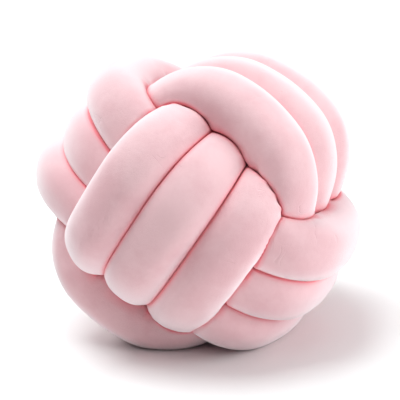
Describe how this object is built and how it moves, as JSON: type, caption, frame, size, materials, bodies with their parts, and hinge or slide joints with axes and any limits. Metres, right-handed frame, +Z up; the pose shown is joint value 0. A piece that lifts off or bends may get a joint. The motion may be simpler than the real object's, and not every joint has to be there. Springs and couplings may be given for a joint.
{
  "type": "knot cushion",
  "caption": "Round cushion tied as a ball knot from one long stuffed velvet tube, with parallel strands crossing over and under each other.",
  "frame": {"origin": "centre of the bounding box, on the surface the cushion rests on", "axes": "+Z up, -Y towards the viewer of the cushion's front face, +X to that viewer's right"},
  "size_m": [0.294, 0.2868, 0.2559],
  "materials": {
    "velvet": "short pile, matte with a soft sheen"
  },
  "bodies": {
    "root": {"knotted_tube": "velvet"}
  },
  "joints": []
}
